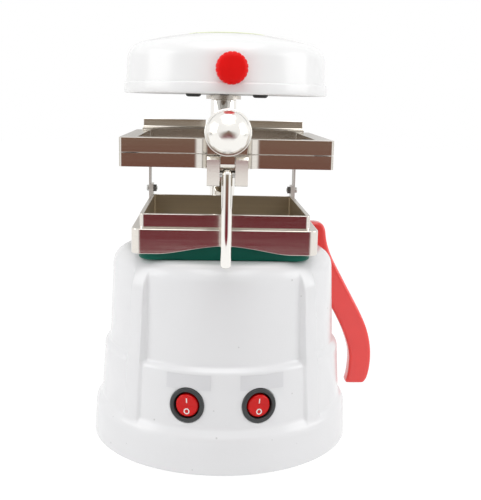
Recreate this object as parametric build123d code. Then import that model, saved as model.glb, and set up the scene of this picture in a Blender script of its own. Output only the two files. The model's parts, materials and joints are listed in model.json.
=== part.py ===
from build123d import *
import os
from math import asin, atan, cos, degrees, pi, radians, sin

# Bench-top vacuum former for dental sheets. Millimetres, +Z up, front towards -Y.
# Origin: centre of the foot plane, on the axis of the round base.

# ---- driving dimensions: base drum -------------------------------------------------
BASE_R = 95.0            # foot circle of the plinth
RIM_Z = 0.8              # lower lip of the drum, just above the feet
PLINTH_TOP = (93.8, 25.0)
MID_FOOT = (89.4, 31.0)
MID_TOP = (87.0, 68.4)
UPPER_FOOT = (83.4, 71.6)
UPPER_TOP = (80.2, 138.4)
DECK_Z = UPPER_TOP[1]
WALL = 3.0
SHOULDER_R = 11.0
RIB_AZ = (39.5, 48.5)    # each upright rib, degrees from the front (or back)
BOSS_R = 17.5            # moulded socket of the post, behind the chamber

# ---- driving dimensions: post and carriage -----------------------------------------
POST_Y = 76.0
POST_R = 10.3
POST_BORE = 8.0
POST_TOP = 245.4
TRAVEL = 41.0            # drop of the clamp frames onto the chamber
RUN = 0.05               # radial running clearance of pins and bushes

# ---- driving dimensions: forming chamber -------------------------------------------
CHAMBER_HALF = 57.3
CHAMBER_WALL = 2.8
CHAMBER_Z = (149.5, 169.6)
SKIRT_HALF = 62.7
SKIRT_TOP = 160.3
SKIRT_LOW = 143.4
SKIRT_ARCH = 149.0       # crown of the swept rise in the skirt's lower edge
ARCH_HALF = 47.0
SEAL_HALF = 58.4

# ---- driving dimensions: clamp frames ----------------------------------------------
FRAME_HALF = 69.4
OPEN_HALF = 58.3
FRAME_FRONT = -70.0
FRAME_REAR = 67.0
OPEN_REAR = 59.0
LOWER_Z = (201.8, 210.6)
UPPER_Z = (211.1, 220.5)
REAR_BAR_TOP = 222.2
UPSTAND_TOP = 229.3
LUG_HALF = 12.8
LUG_DEPTH = 10.0
SLOT_HALF = 4.9
EAR_LOW = 192.2
LATCH_PIN = (-88.0, 206.3)     # Y, Z
ROD_PIN = (-88.0, 199.3)
HINGE_PIN = (70.5, 214.0)
ROD_R = 3.5
ROD_LOW = 139.4
BUSH_Z = (197.5, 216.0)

# ---- driving dimensions: heater head -----------------------------------------------
HEAD_R = 72.4
HEAD_LOW = 248.8
BAND_TOP = 256.4
CROWN_Z = 291.6
LABEL_R = 28.0
SCREW_CIRCLE = 45.0
KNOB_Z = 264.8
KNOB_R = 10.2
KNOB_AZ = 1.5            # the red grip stands a little to the user's right

# ---- driving dimensions: switches on the middle tier -------------------------------
SWITCH_X = 23.7
SWITCH_Z = 46.2
FLAT_R = 87.5            # spot-faced seat of each switch, from the drum's axis
BEZEL_R = 11.8
ROCKER_R = 7.9
ROCKER_TILT = 7.0

# ---- driving dimensions: carry handle ----------------------------------------------
HANDLE_Y = (32.0, 46.0)  # a flat bow that faces the user, behind the drum's widest line
HANDLE_BORES = (110.0, 123.0)
HANDLE_BORE_AZ = 119.0   # where its screws come through the drum's wall

os.makedirs("parts", exist_ok=True)
parts = {}


# ---- helpers -----------------------------------------------------------------------
def block(x0, x1, y0, y1, z0, z1):
    """A box between two corners."""
    size = Box(x1 - x0, y1 - y0, z1 - z0)
    return Pos((x0 + x1) / 2, (y0 + y1) / 2, (z0 + z1) / 2) * size


def disc(r, z0, z1, x=0, y=0):
    """An upright cylinder."""
    return Pos(x, y, (z0 + z1) / 2) * Cylinder(r, z1 - z0)


def ring(r_out, r_in, z0, z1, x=0, y=0):
    """An upright tube."""
    return disc(r_out, z0, z1, x, y) - disc(r_in, z0 - 1, z1 + 1, x, y)


def bar_x(r, x0, x1, y, z):
    """A round bar along X."""
    return Pos((x0 + x1) / 2, y, z) * Rot(0, 90, 0) * Cylinder(r, x1 - x0)


def bar_y(r, y0, y1, x, z):
    """A round bar along Y."""
    return Pos(x, (y0 + y1) / 2, z) * Rot(90, 0, 0) * Cylinder(r, y1 - y0)


def lathe(points, degrees_round=360):
    """Turns a closed outline of (radius, height) points about Z."""
    face = Plane.XZ * make_face(Polyline(*points, close=True))
    return revolve(face, Axis.Z, degrees_round)


def side_plate(points, x0, x1):
    """Extrudes a closed outline of (Y, Z) points along X."""
    face = Plane.YZ.offset(x0) * make_face(Polyline(*points, close=True))
    return extrude(face, x1 - x0)


def square_bar(half, z0, z1, corner):
    """An upright square prism with rounded corners."""
    return Pos(0, 0, z0) * extrude(RectangleRounded(2 * half, 2 * half, corner), z1 - z0)


def both_sides(solid):
    """The solid and its mirror image across the middle plane."""
    return Compound([solid, mirror(solid, Plane.YZ)])


def around(solid, angles):
    """Copies of a solid turned about Z."""
    return Compound([Rot(0, 0, a) * solid for a in angles])


def radial(azimuth, radius, z, lean=0.0):
    """Frame on the drum's wall: local Z out of the wall, local Y up. Azimuth 0 is the front."""
    a, e = radians(azimuth), radians(lean)
    out = (sin(a) * cos(e), -cos(a) * cos(e), sin(e))
    place = (sin(a) * radius, -cos(a) * radius, z)
    return Plane(origin=place, x_dir=(cos(a), sin(a), 0), z_dir=out).location


def rounded(solid, edges, radius):
    """Fillets the edges, and keeps the plain solid where the kernel cannot."""
    try:
        return fillet(edges, radius)
    except Exception:
        print("fillet left out, radius", radius)
        return solid


def cap(r, z_edge, z_top):
    """A bowed line from the axis to an edge, lying on a sphere centred on the axis."""
    rise = z_top - z_edge
    ball = (r * r + rise * rise) / (2 * rise)
    half = r / 2
    return ThreePointArc((r, z_edge), (half, z_top - ball + (ball * ball - half * half) ** 0.5), (0, z_top))


def corner(face, r, z):
    """The vertex of a flat outline nearest to a point."""
    return min(face.vertices(), key=lambda v: (v.X - r) ** 2 + (v.Y - z) ** 2)


def wall_r(z):
    """Outer radius of the middle tier at a height."""
    share = (z - MID_FOOT[1]) / (MID_TOP[1] - MID_FOOT[1])
    return MID_FOOT[0] + share * (MID_TOP[0] - MID_FOOT[0])


# ---- base drum ---------------------------------------------------------------------
MID_LEAN = degrees(atan((MID_FOOT[0] - MID_TOP[0]) / (MID_TOP[1] - MID_FOOT[1])))
SWITCH_AZ = degrees(asin(SWITCH_X / FLAT_R))
INLET_AZ = 155.0
SOLE_R = 58.0
PLATE_SCREW_CIRCLE = 83.0


def drum_outline():
    """Outer outline of the drum with its rounded steps."""
    steps = [(0, RIM_Z), (BASE_R, RIM_Z), PLINTH_TOP, MID_FOOT, MID_TOP, UPPER_FOOT, UPPER_TOP, (0, DECK_Z)]
    face = make_face(Polyline(*steps, close=True))
    rounds = ((PLINTH_TOP, 2.4), (MID_FOOT, 1.6), (MID_TOP, 1.6), (UPPER_FOOT, 1.2), (UPPER_TOP, SHOULDER_R))
    for point, radius in rounds:
        face = fillet([corner(face, *point)], radius)
    return Plane.XZ * face


def drum_inside():
    """The hollow under the deck."""
    steps = [(0, RIM_Z - 1), (BASE_R - WALL, RIM_Z - 1)]
    steps += [(r - WALL, z - WALL / 2) for r, z in (PLINTH_TOP, MID_FOOT, MID_TOP, UPPER_FOOT)]
    steps += [(UPPER_TOP[0] - WALL, 127.5), (67.0, DECK_Z - WALL), (0, DECK_Z - WALL)]
    return lathe(steps)


def rib():
    """One upright rib from the shoulder to the plinth, from the front to its azimuth."""
    outline = [(84, 27.5), (91.6, 26.0), (84.4, 122), (81.0, 130), (76.0, 134), (70, 134)]
    face = Plane.XZ * make_face(Polyline(*outline, close=True))
    wedge = revolve(face, Axis.Z, RIB_AZ[1] - RIB_AZ[0])
    long_edges = [e for e in wedge.edges() if e.length > 60 and e.center().Z > 60
                  and (e.center().X ** 2 + e.center().Y ** 2) ** 0.5 > 86]
    return Rot(0, 0, RIB_AZ[0] - 90) * rounded(wedge, long_edges, 2.4)


def base_shell():
    ribs = [rib()]
    ribs += [mirror(ribs[0], Plane.YZ)]
    ribs += [mirror(r, Plane.XZ) for r in ribs[:2]]
    shell = revolve(drum_outline(), Axis.Z)
    for r in ribs:
        shell += r
    boss = disc(BOSS_R, 27, DECK_Z, y=POST_Y)
    shell += rounded(boss, [boss.edges().sort_by(Axis.Z)[-1]], 3.0)
    shell -= drum_inside() - disc(BOSS_R - 1, 116, DECK_Z, y=POST_Y)
    shell -= disc(BOSS_R - 3.5, 20, 116, y=POST_Y)
    shell -= disc(POST_R, 100, DECK_Z + 1, y=POST_Y)
    shell -= disc(17, DECK_Z - 10, DECK_Z + 1)
    for x, y in chamber_screw_places():
        shell -= disc(2.2, DECK_Z - 10, DECK_Z + 1, x, y)
    for side in (-1, 1):
        seat = radial(side * SWITCH_AZ, FLAT_R, SWITCH_Z, MID_LEAN)
        shell -= seat * Pos(0, 0, 5) * Cylinder(BEZEL_R + 0.5, 10)
        shell -= seat * Cylinder(10.0, 30)
    seat = radial(INLET_AZ, FLAT_R - 1.5, SWITCH_Z, MID_LEAN)
    shell -= seat * Pos(0, 0, 5) * Box(33, 25, 10)
    shell -= seat * Box(27, 20, 30)
    seat = radial(-INLET_AZ, FLAT_R - 0.5, SWITCH_Z, MID_LEAN)
    shell -= seat * Pos(0, 0, 5) * Cylinder(9.5, 10)
    shell -= seat * Cylinder(6.3, 30)
    for a in screw_angles():
        pillar = disc(5.2, 3.8, 40, y=PLATE_SCREW_CIRCLE) - disc(1.4, 3.0, 20, y=PLATE_SCREW_CIRCLE)
        shell += Rot(0, 0, a) * pillar - ring(110, BASE_R - 3.5, 0, 50)
    for z in HANDLE_BORES:
        shell += handle_bore(6.0, 75.5, 80.0, z)
        shell -= handle_bore(2.2, 70, 90, z)
    return shell


def screw_angles():
    return [45 + 90 * i for i in range(4)]


def chamber_screw_places():
    return [(x, y) for x in (-44, 44) for y in (-44, 44)]


def handle_bore(r, r0, r1, z):
    """A cylinder through the drum's wall, on the axis of one handle screw."""
    return radial(HANDLE_BORE_AZ, (r0 + r1) / 2, z) * Cylinder(r, r1 - r0)


def bottom_plate():
    plate = disc(BASE_R - WALL - 0.6, 1.8, 3.8)
    for a in screw_angles():
        plate -= Rot(0, 0, a) * disc(2.0, 0, 6, y=PLATE_SCREW_CIRCLE)
    for a in range(0, 360, 15):
        slot = Pos(0, 69, 0) * Box(3.2, 14, 20)
        plate -= Rot(0, 0, a) * slot
    return plate


def base_screws():
    head = disc(3.4, 0.5, 1.8, y=PLATE_SCREW_CIRCLE) + disc(1.35, 1.8, 16, y=PLATE_SCREW_CIRCLE)
    head -= Pos(0, PLATE_SCREW_CIRCLE, 0.5) * Box(4.5, 0.9, 1.0)
    return around(head, screw_angles())


def sole():
    """Round non-slip sole under the bottom plate: the machine stands on it."""
    return lathe([(0, 0), (SOLE_R - 1, 0), (SOLE_R, 1.0), (SOLE_R, 1.8), (0, 1.8)])


def label_plates():
    """Bare plates above the switches, bent to the wall; neither sits quite central over its switch."""
    z0, z1 = 57.0, 67.4
    outline = [(wall_r(z0), z0), (wall_r(z0) + 0.4, z0), (wall_r(z1) + 0.4, z1), (wall_r(z1), z1)]
    width = degrees(30.6 / wall_r(z0))
    blank = lathe(outline, width)
    plates = []
    for side, centre in ((-1, -23.2), (1, 26.1)):
        azimuth = degrees(asin(centre / wall_r(z0)))
        plate = Rot(0, 0, -90 + azimuth - width / 2) * blank
        seat = radial(side * SWITCH_AZ, FLAT_R, SWITCH_Z, MID_LEAN)
        plates.append(plate - seat * Cylinder(BEZEL_R + 0.5, 20))
    return Compound(plates)


# ---- switches ----------------------------------------------------------------------
PIVOT_R, PIVOT_HALF = 1.1, 9.2


def switch_body(side):
    body = Pos(0, 0, 0.9) * Cylinder(BEZEL_R, 1.8)
    body = rounded(body, [body.edges().sort_by(Axis.Z)[-1]], 1.1)
    body += Pos(0, 0, -8.5) * Cylinder(9.9, 17)
    body -= Pos(0, 0, -2.5) * Cylinder(ROCKER_R + 0.7, 13)
    body -= bar_x(PIVOT_R + RUN, -PIVOT_HALF - 0.2, PIVOT_HALF + 0.2, 0, -1)
    for x in (-5, 0, 5):
        body += Pos(x, 0, -21) * Box(0.8, 4.8, 8)
    return radial(side * SWITCH_AZ, FLAT_R, SWITCH_Z, MID_LEAN) * body


def switch_rocker(side):
    """Round rocker with two faces that meet in a shallow valley, lower half pressed in."""
    blank = Pos(0, 0, -0.2) * Cylinder(ROCKER_R, 6.4)
    for half in (-1, 1):
        cut = Pos(0, 0, 0.9) * Rot(half * ROCKER_TILT, 0, 0) * Pos(0, half * 10, 5) * Box(30, 20, 10)
        blank -= cut
    blank &= Pos(0, 0, -1) * Sphere(ROCKER_R + 0.45)
    blank += bar_x(PIVOT_R, -PIVOT_HALF, PIVOT_HALF, 0, -1)
    pivot = Pos(0, 0, -1) * Rot(ROCKER_TILT, 0, 0) * Pos(0, 0, 1)
    return radial(side * SWITCH_AZ, FLAT_R, SWITCH_Z, MID_LEAN) * pivot * blank


def power_inlet():
    body = Pos(0, 0, 1.2) * Box(32, 24, 2.4)
    body = rounded(body, body.edges().filter_by(Axis.Z), 3.0)
    body += Pos(0, 0, -9) * Box(26.6, 19.6, 18)
    body -= Pos(0, 0, -5) * Box(22.5, 15, 17)
    for x, y in ((-7, -1.5), (0, 2.5), (7, -1.5)):
        body += Pos(x, y, -6) * Box(2, 4, 15)
        body += Pos(x, y, -22) * Box(0.8, 4.8, 8)
    return radial(INLET_AZ, FLAT_R - 1.5, SWITCH_Z, MID_LEAN) * body


def fuse_carrier():
    body = Pos(0, 0, 1.2) * Cylinder(9.0, 2.4) + Pos(0, 0, 4.2) * Cylinder(6.4, 3.6)
    body -= Pos(0, 0, 6) * Box(9, 1.4, 1.6)
    body += Pos(0, 0, -14) * Cylinder(6.2, 28)
    return radial(-INLET_AZ, FLAT_R - 0.5, SWITCH_Z, MID_LEAN) * body


def terminal_block():
    body = block(-18, 18, -76, -62, 3.8, 16)
    for i in range(4):
        x = -13.5 + 9 * i
        body -= disc(2.2, 9, 17, x, -69)
        body -= bar_y(1.8, -80, -58, x, 7.5)
    return body


# ---- suction motor -----------------------------------------------------------------
def motor_parts():
    """Through-flow blower: fan housing on top, motor below, on a ring on the bottom plate."""
    fan = lathe([(16, 110), (50, 108), (52, 104), (52, 80), (12.1, 80), (12.1, 83), (49, 83), (49, 103),
                 (47, 105.5), (16, 107)])
    for a in range(0, 360, 30):
        fan -= Rot(0, 0, a) * block(44, 60, -5, 5, 84, 90)
    duct = lathe([(17, 110.2), (24, 109.7), (24, DECK_Z - WALL), (17, DECK_Z - WALL)])
    can = ring(40, 34, 34, 80)
    for a in range(0, 360, 45):
        can -= Rot(0, 0, a) * block(30, 45, -6, 6, 62, 74)
    can += lathe([(12.1, 76), (34, 76), (34, 80), (12.1, 80)])
    stator = ring(33.8, 20, 42, 60)
    cap = lathe([(5, 34), (5, 28), (14, 28), (14, 31), (40, 31), (40, 34)])
    cap -= disc(11.1, 31.0, 36)
    cradle = ring(46, 36, 3.8, 31) - ring(60, 41, 8, 26)
    for a in range(0, 360, 60):
        cradle -= Rot(0, 0, a + 30) * block(30, 50, -9, 9, 8, 26)
    bearings = Compound([ring(12, 4 + RUN, 74, 83), ring(11, 4 + RUN, 31, 38)])
    shaft = disc(4, 30, 107) + disc(19.5, 44, 58) + disc(9, 39.2, 43)
    shaft = rounded(shaft, [shaft.edges().sort_by(Axis.Z)[-1]], 0.6)
    hub = ring(9, 4, 85, 101)
    wheel = hub + ring(45, 9, 85, 86.5)
    for i in range(12):
        wheel += Rot(0, 0, 30 * i) * Pos(27, 0, 0) * Rot(0, 0, 24) * block(-17, 17, -0.8, 0.8, 86.5, 100)
    brushes = both_sides(block(9.1, 19, -3, 3, 38.5, 41.5) + block(14, 30, -4.2, 4.2, 37.5, 38.5))
    return {"fan_housing": fan, "air_duct": duct, "motor_can": can, "motor_stator": stator,
            "motor_end_cap": cap, "motor_cradle": cradle, "motor_bearings": bearings, "motor_shaft": shaft,
            "impeller": wheel, "motor_brushes": brushes}


# ---- seal, chamber and skirt -------------------------------------------------------
def seal_pad():
    pad = square_bar(SEAL_HALF, DECK_Z, CHAMBER_Z[0], 11) - disc(38, DECK_Z - 1, CHAMBER_Z[0] + 1)
    for x, y in chamber_screw_places():
        pad -= disc(2.2, DECK_Z - 1, CHAMBER_Z[0] + 1, x, y)
    return pad


def forming_chamber():
    """The four walls; the perforated plate is their floor."""
    walls = square_bar(CHAMBER_HALF, *CHAMBER_Z, 3.2)
    return walls - square_bar(CHAMBER_HALF - CHAMBER_WALL, CHAMBER_Z[0] - 1, CHAMBER_Z[1] + 1, 1.2)


def perforated_plate():
    plate = square_bar(CHAMBER_HALF - CHAMBER_WALL, CHAMBER_Z[0], CHAMBER_Z[0] + 2.7, 1.2)
    hole = Pos(0, 0, CHAMBER_Z[0]) * Cylinder(1.5, 8)
    pitch = 10.0
    plate -= [Pos(pitch * i, pitch * j, 0) * hole for i in range(-3, 4) for j in range(-3, 4)]
    for x, y in chamber_screw_places():
        plate -= disc(2.2, CHAMBER_Z[0] - 1, CHAMBER_Z[0] + 4, x, y)
    return plate


def chamber_screws():
    top = CHAMBER_Z[0] + 2.7
    one = disc(3.8, top, top + 2.2)
    one = rounded(one, [one.edges().sort_by(Axis.Z)[-1]], 1.2) + disc(2.0, DECK_Z - 8, top)
    one -= disc(1.6, top + 1.0, top + 4)
    return Compound([Pos(x, y, 0) * one for x, y in chamber_screw_places()])


def chamber_skirt():
    skirt = square_bar(SKIRT_HALF, SKIRT_LOW, SKIRT_TOP, 7.0)
    skirt = rounded(skirt, skirt.faces().sort_by(Axis.Z)[-1].edges(), 0.8)
    skirt -= square_bar(SKIRT_HALF - 2.0, SKIRT_LOW - 1, SKIRT_TOP - 1.6, 5.0)
    skirt -= square_bar(CHAMBER_HALF, SKIRT_LOW - 1, SKIRT_TOP + 1, 3.2)
    half_way = 30.0
    bow = Spline((-ARCH_HALF, SKIRT_LOW), (-half_way, SKIRT_LOW + 1.8), (0, SKIRT_ARCH),
                 (half_way, SKIRT_LOW + 1.8), (ARCH_HALF, SKIRT_LOW), tangents=((1, 0), (1, 0)))
    below = Polyline((ARCH_HALF, SKIRT_LOW), (ARCH_HALF, SKIRT_LOW - 3), (-ARCH_HALF, SKIRT_LOW - 3),
                     (-ARCH_HALF, SKIRT_LOW))
    arch = extrude(Plane.XZ * make_face(bow + below), 80, both=True)
    skirt -= arch
    skirt -= Rot(0, 0, 90) * arch
    return skirt


# ---- guide straps at the chamber's rear corners ------------------------------------
STRAP_X = (58.45, 59.95)
STRAP_Y = (70.0, 82.5)
PIN_Y, PIN_Z = 78.0, 207.2
BOLT_Y = 72.6
BOLT_HEIGHTS = (152.0, 172.9)


def strap_bracket():
    outline = [(SKIRT_HALF, 146), (81, 146), (81, 176.5), (70, 176.5), (70, 159.6), (SKIRT_HALF, 159.6)]
    plate = side_plate(outline, STRAP_X[0] - 2.0, STRAP_X[0])
    plate += block(44, STRAP_X[0], SKIRT_HALF, SKIRT_HALF + 1.6, 146, 158.8)
    for z in BOLT_HEIGHTS:
        plate -= bar_x(1.5, 50, 70, BOLT_Y, z)
    return plate


def guide_strap():
    strap = block(*STRAP_X, *STRAP_Y, 147, 226)
    strap = rounded(strap, strap.edges().filter_by(Axis.X), 3.0)
    low, high = PIN_Z - TRAVEL - 2.6, PIN_Z + 2.6
    strap -= block(50, 70, PIN_Y - 2.1, PIN_Y + 2.1, low, high)
    for z in BOLT_HEIGHTS:
        strap -= bar_x(1.5, 50, 70, BOLT_Y, z)
    return strap


def strap_bolts():
    one = None
    for z in BOLT_HEIGHTS:
        shank = bar_x(1.5, STRAP_X[0] - 5.2, STRAP_X[1], BOLT_Y, z)
        head = bar_x(2.5, STRAP_X[1], STRAP_X[1] + 2.0, BOLT_Y, z)
        piece = shank + rounded(head, [head.edges().sort_by(Axis.X)[-1]], 0.8)
        one = [piece] if one is None else one + [piece]
    return Compound(one + [mirror(s, Plane.YZ) for s in one])


def strap_nuts():
    nuts = []
    for z in BOLT_HEIGHTS:
        hexagon = Plane.YZ.offset(STRAP_X[0] - 4.6) * Pos(BOLT_Y, z) * RegularPolygon(3.1, 6)
        nuts.append(extrude(hexagon, 2.6) - bar_x(1.5, 50, 70, BOLT_Y, z))
    return Compound(nuts + [mirror(n, Plane.YZ) for n in nuts])


# ---- post --------------------------------------------------------------------------
def post():
    return ring(POST_R, POST_BORE, 104, POST_TOP, y=POST_Y)


def post_nut():
    hexagon = Pos(0, POST_Y, 108) * extrude(RegularPolygon(13.8, 6), 8)
    return hexagon - disc(POST_R, 100, 120, y=POST_Y)


def stop_collar():
    collar = ring(12.7, POST_R, DECK_Z, 150.4, y=POST_Y)
    return rounded(collar, [collar.edges().sort_by(Axis.Z)[-1]], 1.2)


# ---- carry handle ------------------------------------------------------------------
def handle_profile():
    """Front view of the handle: distance to the user's right of the drum's axis, and height."""
    outer = Spline((65.0, 151.6), (70.5, 152.5), (77.8, 152.2), (80.6, 150.4), (82.1, 147.2), (82.6, 141.5), (83.4, 134.0),
                   (86.6, 125.0), (92.2, 115.0), (101.2, 98.6), (109.3, 84.4), (116.3, 71.0), (120.6, 58.6),
                   (122.8, 45.5), (122.2, 33.4), (119.6, 23.0))
    end = Polyline((119.6, 23.0), (117.2, 19.5), (102.2, 19.5), (101.2, 22.4), (103.4, 24.8))
    inner = Spline((103.4, 24.8), (104.6, 36.5), (104.6, 46.5), (99.7, 61.3), (94.6, 72.8), (88.6, 83.2),
                   (81.0, 95.0), (74.0, 108.0), (68.5, 119.0))
    back = Polyline((68.5, 119.0), (SKIRT_HALF + 0.5, 130.0), (SKIRT_HALF + 0.5, 149.0), (65.0, 151.6))
    return make_face(outer + end + inner + back)


def carry_handle():
    y0, y1 = HANDLE_Y
    solid = extrude(Plane.XZ.offset(-y1) * handle_profile(), y1 - y0)
    for least in (140, 90):
        long_edges = [e for e in solid.edges() if least < e.length < least + 50]
        solid = rounded(solid, [e for e in long_edges if e.geom_type == GeomType.BSPLINE], 2.4)
    solid -= revolve(drum_outline(), Axis.Z)
    for z in HANDLE_BORES:
        solid -= handle_bore(2.0, 70, 87.5, z)
    return solid


def handle_screws():
    screws = [handle_bore(2.0, 75.5, 87.0, z) + handle_bore(3.8, 73.2, 75.5, z) for z in HANDLE_BORES]
    return Compound(screws)


# ---- carriage: lower clamp frame and what it carries -------------------------------
def lug_roots(z0, z1):
    """Front lug of a frame with its hollow roots."""
    lug = block(-LUG_HALF, LUG_HALF, FRAME_FRONT - LUG_DEPTH, FRAME_FRONT + 1, z0, z1)
    root = LUG_DEPTH - 0.5
    web = block(LUG_HALF, LUG_HALF + root, FRAME_FRONT - root, FRAME_FRONT + 1, z0, z1)
    web -= disc(root, z0 - 1, z1 + 1, LUG_HALF + root, FRAME_FRONT - root)
    return lug + web + mirror(web, Plane.YZ)


def frame_ring(z0, z1):
    ring_plate = block(-FRAME_HALF, FRAME_HALF, FRAME_FRONT, FRAME_REAR, z0, z1)
    ring_plate = rounded(ring_plate, ring_plate.edges().filter_by(Axis.Z), 2.0)
    return ring_plate - block(-OPEN_HALF, OPEN_HALF, -OPEN_HALF, OPEN_REAR, z0 - 1, z1 + 1)


def lower_frame():
    z0, z1 = LOWER_Z
    frame = frame_ring(z0, z1) + lug_roots(z0, z1)
    ears = side_plate([(-77, z0), (-77, z1), (-91.6, z1), (-93.2, z1 - 1.8), (-91.2, EAR_LOW + 0.8),
                       (-90.4, EAR_LOW), (-82.5, EAR_LOW), (-79, z0)], -LUG_HALF, LUG_HALF)
    frame += ears
    frame -= block(-SLOT_HALF, SLOT_HALF, -100, -80, EAR_LOW - 1, z1 + 1)
    frame += disc(17, z0, z1, y=POST_Y)
    frame -= block(-OPEN_HALF, OPEN_HALF, -OPEN_HALF, OPEN_REAR, z0 - 1, z1 + 1)
    frame -= disc(12.7, z0 - 1, z1 + 1, y=POST_Y)
    frame -= bar_y(3.1, 80, 100, 0, 206.2)
    for side in (-1, 1):
        lug = block(60.6, 66.4, FRAME_REAR - 1, 82.5, 203.8, z1)
        lug -= bar_x(1.75, 58, 68, PIN_Y, PIN_Z) + block(60, 62.3, FRAME_REAR, 75.6, 200, 220)
        frame += lug if side > 0 else mirror(lug, Plane.YZ)
        knuckle = block(24, 33.6, FRAME_REAR - 1, HINGE_PIN[0] + 3.6, z0 + 2, HINGE_PIN[1])
        knuckle += bar_x(3.6, 24, 33.6, *HINGE_PIN)
        knuckle -= block(20, 40, 60, FRAME_REAR, z1, 230)
        knuckle -= bar_x(1.75, 20, 40, *HINGE_PIN)
        frame += knuckle if side > 0 else mirror(knuckle, Plane.YZ)
    frame -= bar_x(2.0, -LUG_HALF - 1, LUG_HALF + 1, *LATCH_PIN)
    frame -= bar_x(1.75, -LUG_HALF - 1, LUG_HALF + 1, *ROD_PIN)
    return frame


def slider_bush():
    bush = ring(12.7, POST_R + RUN, *BUSH_Z, y=POST_Y)
    return bush - bar_y(3.1, 80, 100, 0, 206.2)


def drag_screw():
    shank = bar_y(3.05, POST_Y + POST_R + 0.15, 96, 0, 206.2)
    head = bar_y(8.0, 94.5, 104, 0, 206.2)
    head = rounded(head, head.edges().sort_by(Axis.Y)[-1:], 1.2)
    for i in range(16):
        a = 2 * pi * i / 16
        head -= bar_y(0.9, 94, 102.5, 8.3 * cos(a), 206.2 + 8.3 * sin(a))
    return shank + head


def cross_pin(r, place, half):
    pin = bar_x(r, -half, half, *place)
    return rounded(pin, pin.edges().filter_by(GeomType.CIRCLE), 0.5)


def guide_pins():
    return both_sides(bar_x(1.75, STRAP_X[0] + 0.2, 67.4, PIN_Y, PIN_Z))


def hinge_pins():
    pin = bar_x(1.75, 23.2, 44.8, *HINGE_PIN) + bar_x(2.7, 21.8, 23.2, *HINGE_PIN)
    return both_sides(pin)


# ---- upper clamp frame -------------------------------------------------------------
def upper_frame():
    z0, z1 = UPPER_Z
    frame = frame_ring(z0, z1) + lug_roots(z0, z1)
    frame += block(-FRAME_HALF + 5, FRAME_HALF - 5, OPEN_REAR, FRAME_REAR, z1 - 1, REAR_BAR_TOP)
    frame -= block(-14, 14, 62.5, 90, z0 - 1, REAR_BAR_TOP + 1)
    for side in (-1, 1):
        relief = block(23.4, 34.0, 65.6, 72, z0 - 1, 219.5)
        frame -= relief if side > 0 else mirror(relief, Plane.YZ)
        knuckle = block(34.2, 44.0, FRAME_REAR - 1, HINGE_PIN[0], HINGE_PIN[1] - 2.6, HINGE_PIN[1] + 3.6)
        knuckle += bar_x(3.6, 34.2, 44.0, *HINGE_PIN)
        knuckle -= bar_x(1.75 + RUN, 30, 50, *HINGE_PIN)
        frame += knuckle if side > 0 else mirror(knuckle, Plane.YZ)
    return frame


def rear_upstand():
    """Two angle strips, one on each side of the post, that the sheet's rear edge is laid against."""
    leg = block(14, 63.8, 63.6, 65.4, REAR_BAR_TOP, UPSTAND_TOP)
    foot = block(14, 63.8, 60.6, 65.4, REAR_BAR_TOP, REAR_BAR_TOP + 1.2)
    return both_sides(leg + foot)


# ---- latch lever, knob and pull rod ------------------------------------------------
KNOB_TILT = 9.0
KNOB_SEAT = (-86.0, 224.6)     # Y, Z of the knob's seat on the lever


def latch_lever():
    y, z = LATCH_PIN
    outline = [(y + 3.2, z), (y + 3.2, 209.5), (-80.5, 213.5), (-80.5, 230.0), (-86, 230.0), (-86, 215.0),
               (y - 3.2, 211.0), (y - 3.2, z)]
    lever = side_plate(outline, -4.6, 4.6) + bar_x(3.2, -4.6, 4.6, y, z)
    return lever - bar_x(2.0 + RUN, -10, 10, y, z) - knob_place() * Cylinder(2.5, 20)


def knob_place():
    """Frame at the knob's seat: local Z out of the lever, tilted up to the user."""
    t = radians(KNOB_TILT)
    return Plane(origin=(0, *KNOB_SEAT), x_dir=(1, 0, 0), z_dir=(0, -cos(t), sin(t))).location


def latch_knob():
    """Turned ball knob with a collar behind its dome."""
    back = Polyline((0, 0.8), (4.2, 0.8), (8.6, 2.4)) + ThreePointArc((8.6, 2.4), (12.9, 3.9), (14.6, 6.4))
    collar = Polyline((14.6, 6.4), (14.6, 7.4), (13.3, 7.9), (13.3, 8.6))
    dome = cap(13.3, 8.6, 17.6) + Line((0, 17.6), (0, 0.8))
    face = Plane.XZ * make_face(back + collar + dome)
    return knob_place() * (revolve(face, Axis.Z) + Pos(0, 0, -1) * Cylinder(2.45, 6))


def pull_rod():
    y, z = ROD_PIN
    rod = disc(ROD_R, ROD_LOW, z, y=y)
    rod = rounded(rod, [rod.edges().sort_by(Axis.Z)[0]], 2.2)
    rod += Pos(0, y, z) * Sphere(ROD_R)
    return rod - bar_x(1.75 + RUN, -10, 10, y, z)


# ---- heater head -------------------------------------------------------------------
def dome_shell():
    """Spun cover with a flat crown, open below."""
    t = 1.8
    outer = Line((70.8, BAND_TOP), (69.9, 270.5)) + ThreePointArc((69.9, 270.5), (67.5, 278.6), (61.4, 283.4))
    outer += cap(61.4, 283.4, CROWN_Z)
    inner = Line((70.8 - t, BAND_TOP), (69.9 - t, 270.3))
    inner += ThreePointArc((69.9 - t, 270.3), (65.9, 277.3), (60.4, 281.8))
    inner += cap(60.4, 281.8, CROWN_Z - t)
    cover = make_face(outer + Polyline((0, CROWN_Z), (0, BAND_TOP), (70.8, BAND_TOP)))
    hollow = make_face(inner + Polyline((0, CROWN_Z - t), (0, BAND_TOP), (70.8 - t, BAND_TOP)))
    shell = revolve(Plane.XZ * cover, Axis.Z) - revolve(Plane.XZ * hollow, Axis.Z)
    return shell - Rot(0, 0, KNOB_AZ) * bar_y(2.6, -80, -60, 0, KNOB_Z)


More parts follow.
